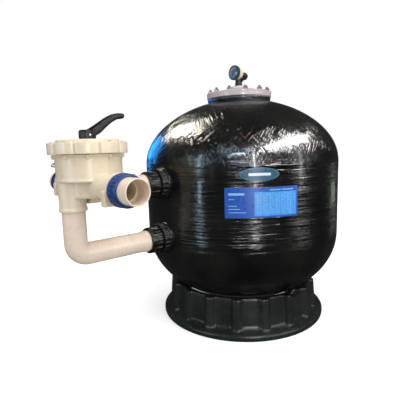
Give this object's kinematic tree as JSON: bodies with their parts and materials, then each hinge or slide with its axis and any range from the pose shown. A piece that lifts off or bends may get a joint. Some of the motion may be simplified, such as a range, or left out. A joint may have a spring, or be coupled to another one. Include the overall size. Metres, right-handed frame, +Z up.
{
  "type": "sand filter tank",
  "caption": "Side-mounted sand filter: black wound pressure vessel on a fluted skirt, clear bolted lid with gauge, ivory multiport valve with lever.",
  "frame": {"origin": "on the floor, under the middle of the bounding box", "axes": "+X from the valve to the vessel, +Z up, pump port faces -Y"},
  "size_m": [0.8954, 0.6, 0.7781],
  "materials": {
    "vessel_resin": "glossy wound glass-fibre resin",
    "skirt_plastic": "semi-matte moulded plastic",
    "clear_lid": "clear moulded plastic",
    "seal_rubber": "matte rubber",
    "bolt_steel": "stainless",
    "pin_steel": "stainless",
    "black_fitting": "satin moulded plastic",
    "black_gauge_parts": "satin moulded plastic",
    "brass_stem": "turned brass",
    "gauge_cream": "satin plastic",
    "gauge_teal": "satin plastic",
    "gauge_glass": "clear",
    "dial_face": "printed",
    "needle": "white painted",
    "ivory_valve": "satin moulded plastic",
    "ivory_pipe": "satin moulded plastic",
    "stub_white": "satin moulded plastic",
    "union_blue": "satin moulded plastic",
    "lever_black": "satin moulded plastic",
    "sight_clear": "clear",
    "inner_white": "moulded plastic",
    "valve_grey": "moulded plastic"
  },
  "bodies": {
    "filter": {"tank_vessel": "vessel_resin", "base_skirt": "skirt_plastic", "tank_lid": "clear_lid", "lid_seal": "seal_rubber", "lid_bolt_01": "bolt_steel", "lid_bolt_02": "bolt_steel", "lid_bolt_03": "bolt_steel", "lid_bolt_04": "bolt_steel", "lid_bolt_05": "bolt_steel", "lid_bolt_06": "bolt_steel", "lid_bolt_07": "bolt_steel", "lid_bolt_08": "bolt_steel", "lid_bolt_09": "bolt_steel", "lid_bolt_10": "bolt_steel", "lid_bolt_11": "bolt_steel", "lid_bolt_12": "bolt_steel", "gauge_tee": "black_gauge_parts", "gauge_stem": "brass_stem", "gauge_case": "gauge_cream", "gauge_bezel": "gauge_teal", "gauge_lens": "gauge_glass", "gauge_dial": "dial_face", "bulkhead_upper": "black_fitting", "bulkhead_lower": "black_fitting", "locknut_upper": "black_fitting", "locknut_lower": "black_fitting", "upper_tailpiece": "ivory_pipe", "elbow_pipe": "ivory_pipe", "valve_body": "ivory_valve", "valve_cover": "ivory_valve", "cover_seal": "seal_rubber", "sight_glass": "sight_clear", "pump_tailpiece": "stub_white", "return_tailpiece": "stub_white", "waste_tailpiece": "stub_white", "top_diffuser": "inner_white", "diffuser_pipe": "inner_white", "lateral_hub": "inner_white", "collector_pipe": "inner_white", "lateral_1": "inner_white", "lateral_2": "inner_white", "lateral_3": "inner_white", "lateral_4": "inner_white", "lateral_5": "inner_white", "lateral_6": "inner_white", "drain_spigot": "black_fitting"},
    "needle": {"gauge_needle": "needle"},
    "relief_knob": {"air_relief_knob": "black_gauge_parts"},
    "nut_upper": {"union_nut_upper": "black_fitting"},
    "nut_lower": {"union_nut_lower": "black_fitting"},
    "nut_pump": {"pump_union_nut": "union_blue"},
    "nut_return": {"return_union_nut": "union_blue"},
    "nut_waste": {"waste_union_nut": "union_blue"},
    "drain_cap": {"drain_cap": "black_fitting"},
    "spinner": {"valve_washer": "inner_white"},
    "stem": {"valve_stem": "valve_grey", "valve_rotor": "valve_grey", "valve_spring": "pin_steel", "handle_pin": "pin_steel"},
    "lever": {"valve_handle": "lever_black"}
  },
  "joints": [
    {"name": "gauge_needle_turn", "type": "hinge", "parent": "filter", "child": "needle", "pos_m": [0.137, 0, 0.756], "axis": [1, 0, 0], "range_deg": [0, 270]},
    {"name": "air_relief_turn", "type": "hinge", "parent": "filter", "child": "relief_knob", "pos_m": [0.1485, 0, 0.7245], "axis": [0.7071, 0, 0.7071], "continuous": true},
    {"name": "union_upper_turn", "type": "hinge", "parent": "filter", "child": "nut_upper", "pos_m": [-0.1935, 0, 0.434], "axis": [-1, 0, 0], "continuous": true},
    {"name": "union_lower_turn", "type": "hinge", "parent": "filter", "child": "nut_lower", "pos_m": [-0.1935, 0, 0.283], "axis": [-1, 0, 0], "continuous": true},
    {"name": "union_pump_turn", "type": "hinge", "parent": "filter", "child": "nut_pump", "pos_m": [-0.3555, -0.173, 0.445], "axis": [0, -1, 0], "continuous": true},
    {"name": "union_return_turn", "type": "hinge", "parent": "filter", "child": "nut_return", "pos_m": [-0.3555, 0.173, 0.445], "axis": [0, 1, 0], "continuous": true},
    {"name": "union_waste_turn", "type": "hinge", "parent": "filter", "child": "nut_waste", "pos_m": [-0.25792, 0.09758, 0.445], "axis": [0.7071, 0.7071, 0], "continuous": true},
    {"name": "drain_cap_turn", "type": "hinge", "parent": "filter", "child": "drain_cap", "pos_m": [0.09058, -0.2509, 0.128], "axis": [-0.225, -0.9744, 0], "continuous": true},
    {"name": "valve_spin", "type": "hinge", "parent": "filter", "child": "spinner", "pos_m": [-0.3555, 0, 0.5533], "axis": [0, 0, 1], "continuous": true},
    {"name": "stem_lift", "type": "slide", "parent": "spinner", "child": "stem", "axis": [0, 0, 1], "range_m": [0, 0.006], "stiffness_N_per_m": 100, "springref_m": -0.012, "deforming": ["valve_spring"]},
    {"name": "handle_press", "type": "hinge", "parent": "stem", "child": "lever", "pos_m": [-0.3555, 0, 0.5645], "axis": [0, 1, 0], "range_deg": [0, 12.4]}
  ],
  "couplings": [
    {"joint": "handle_press", "follows": "stem_lift", "rad_per_m": 35.7}
  ]
}
